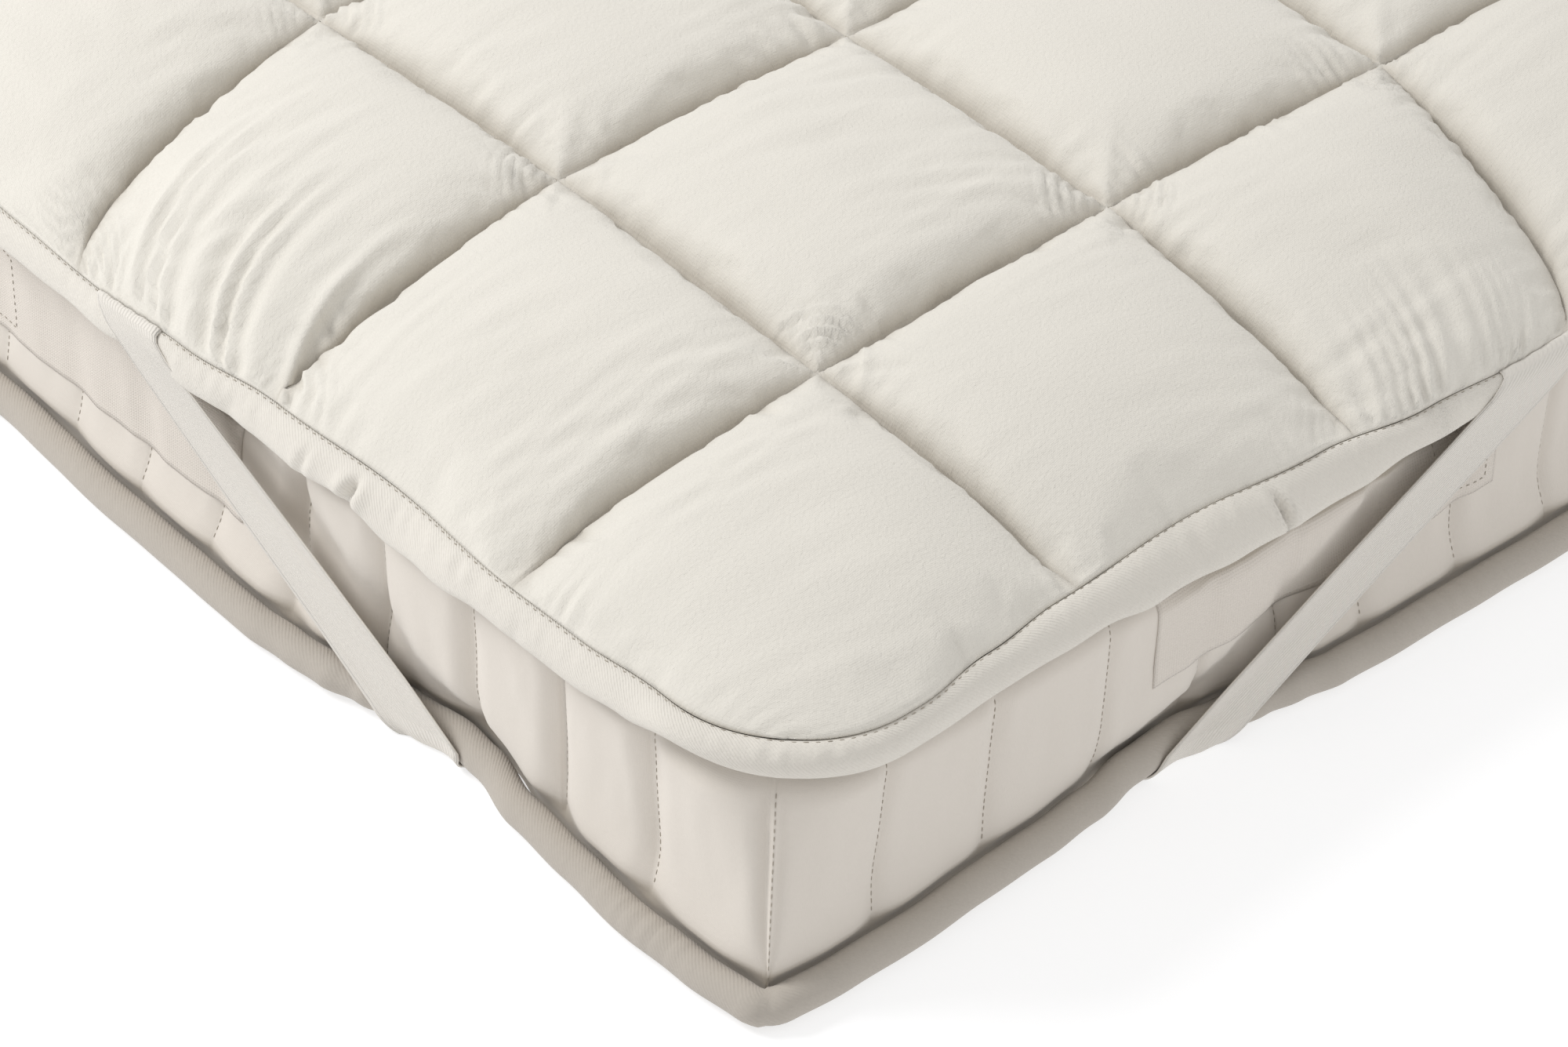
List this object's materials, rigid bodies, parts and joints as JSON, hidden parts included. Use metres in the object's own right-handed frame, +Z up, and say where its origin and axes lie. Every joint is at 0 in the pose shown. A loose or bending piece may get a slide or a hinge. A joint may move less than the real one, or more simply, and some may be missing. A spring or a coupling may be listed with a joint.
{
  "type": "mattress pad on a mattress",
  "caption": "Quilted mattress pad with a filled top in sewn squares, a soft turned binding and elastic corner straps, fitted over a plain channelled mattress with woven carrying handles.",
  "frame": {"origin": "centre of the part's footprint, on the floor under the mattress", "axes": "+Z up, +Y along the bed's length, +X across its width"},
  "size_m": [1.643, 2.041, 0.2173],
  "materials": {
    "brushed_cotton": "matte brushed cotton",
    "binding_twill": "matte cotton twill",
    "strap_elastic": "ribbed woven elastic",
    "mattress_sateen": "soft sateen",
    "piping_twill": "matte bias twill",
    "handle_canvas": "plain canvas"
  },
  "bodies": {
    "root": {"pad_quilt": "brushed_cotton", "pad_binding": "binding_twill", "corner_strap_1": "strap_elastic", "corner_strap_2": "strap_elastic", "corner_strap_3": "strap_elastic", "corner_strap_4": "strap_elastic", "mattress_body": "mattress_sateen", "mattress_piping": "piping_twill", "carry_handle_1": "handle_canvas", "carry_handle_2": "handle_canvas", "carry_handle_3": "handle_canvas", "carry_handle_4": "handle_canvas", "carry_handle_5": "handle_canvas", "carry_handle_6": "handle_canvas", "carry_handle_7": "handle_canvas", "carry_handle_8": "handle_canvas"}
  },
  "joints": []
}
